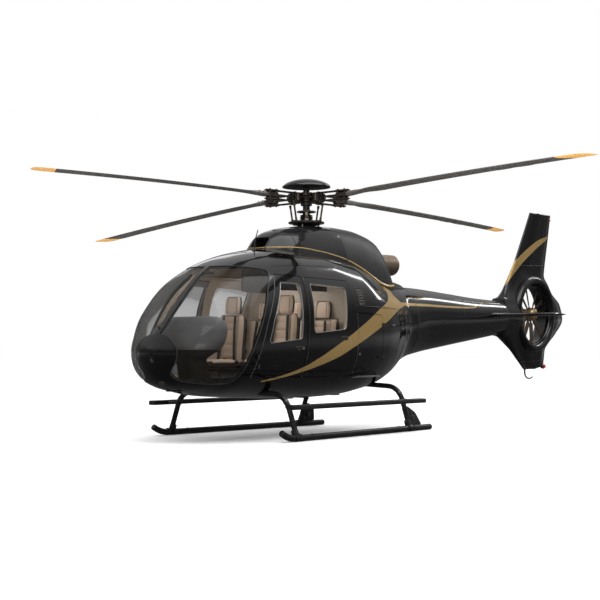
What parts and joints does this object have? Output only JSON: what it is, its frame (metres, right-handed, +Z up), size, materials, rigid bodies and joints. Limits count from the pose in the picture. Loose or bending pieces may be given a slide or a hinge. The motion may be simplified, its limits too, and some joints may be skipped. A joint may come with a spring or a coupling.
{
  "type": "helicopter",
  "caption": "Light passenger helicopter on skids, with a hollow glazed cabin, hinged doors, a bladed main rotor and a tail fan turning in a shrouded fin.",
  "frame": {"origin": "on the ground under the middle of the whole outline's box; the rotor mast stands at x = 1.4188 m", "axes": "+X to the nose, +Y to port, +Z up"},
  "size_m": [12.1624, 9.3248, 3.56],
  "materials": {
    "gloss_black": "gloss black paint with gold stripes",
    "satin_black": "satin black paint",
    "dark_metal": "dark anodised",
    "bronzed_steel": "heat-bronzed steel",
    "gold_blades": "gold anodised",
    "acrylic": "tinted acrylic",
    "tan_leather": "tan leather with dark piping",
    "grey_trim": "grained grey trim",
    "blade_skin": "dark grey composite with yellow tips",
    "engine_metal": "cast metal",
    "clear_lens": "clear lens"
  },
  "bodies": {
    "airframe": {"cabin_shell": "gloss_black", "rear_fuselage": "gloss_black", "tail_boom": "gloss_black", "fin_and_shroud": "gloss_black", "transmission_cowl": "satin_black", "engine_cowl": "satin_black", "boom_fairing": "satin_black", "engine": "engine_metal", "main_gearbox": "engine_metal", "exhaust_pipe": "bronzed_steel", "windshield_left": "acrylic", "windshield_right": "acrylic", "rear_door_left": "gloss_black", "rear_door_right": "gloss_black", "rear_window_left": "acrylic", "rear_window_right": "acrylic", "stabiliser_left": "gloss_black", "stabiliser_right": "gloss_black", "tail_guard": "dark_metal", "fan_stator": "dark_metal", "swashplate_fixed": "dark_metal", "skid_left": "satin_black", "skid_right": "satin_black", "cross_tube_front": "satin_black", "cross_tube_rear": "satin_black", "boarding_step_left": "satin_black", "boarding_step_right": "satin_black", "cabin_floor": "grey_trim", "instrument_console": "grey_trim", "control_stick": "grey_trim", "seat_base_front_left": "grey_trim", "seat_cushion_front_left": "tan_leather", "seat_back_front_left": "tan_leather", "seat_base_front_right": "grey_trim", "seat_cushion_front_right": "tan_leather", "seat_back_front_right": "tan_leather", "rear_seat_base": "grey_trim", "rear_seat_cushion": "tan_leather", "rear_seat_back": "tan_leather", "nose_lamp": "clear_lens", "whip_aerial": "dark_metal"},
    "main_rotor": {"rotor_mast": "dark_metal", "rotor_hub": "dark_metal", "rotor_cap": "gloss_black", "swashplate_turning": "dark_metal", "rotor_blade_1": "blade_skin", "rotor_blade_2": "blade_skin", "rotor_blade_3": "blade_skin", "rotor_blade_4": "blade_skin"},
    "tail_fan": {"tail_fan": "gold_blades"},
    "front_door_left": {"front_door_left": "gloss_black", "front_window_left": "acrylic"},
    "front_door_right": {"front_door_right": "gloss_black", "front_window_right": "acrylic"},
    "baggage_door_left": {"baggage_door_left": "gloss_black"},
    "baggage_door_right": {"baggage_door_right": "gloss_black"}
  },
  "joints": [
    {"name": "main_rotor_spin", "type": "hinge", "parent": "airframe", "child": "main_rotor", "pos_m": [1.4188, 0, 3.285], "axis": [0, 0, 1], "continuous": true},
    {"name": "tail_fan_spin", "type": "hinge", "parent": "airframe", "child": "tail_fan", "pos_m": [-4.8812, 0, 1.76], "axis": [0, 1, 0], "continuous": true},
    {"name": "front_door_left_hinge", "type": "hinge", "parent": "airframe", "child": "front_door_left", "pos_m": [3.5998, 0.976, 1.01], "axis": [0, 0, -1], "range_deg": [0, 80]},
    {"name": "front_door_right_hinge", "type": "hinge", "parent": "airframe", "child": "front_door_right", "pos_m": [3.5998, -0.976, 1.01], "axis": [0, 0, 1], "range_deg": [0, 80]},
    {"name": "baggage_door_left_hinge", "type": "hinge", "parent": "airframe", "child": "baggage_door_left", "pos_m": [0.8103, 0.912, 1.26], "axis": [0, 0, 1], "range_deg": [0, 100]},
    {"name": "baggage_door_right_hinge", "type": "hinge", "parent": "airframe", "child": "baggage_door_right", "pos_m": [0.8103, -0.912, 1.26], "axis": [0, 0, -1], "range_deg": [0, 100]}
  ]
}
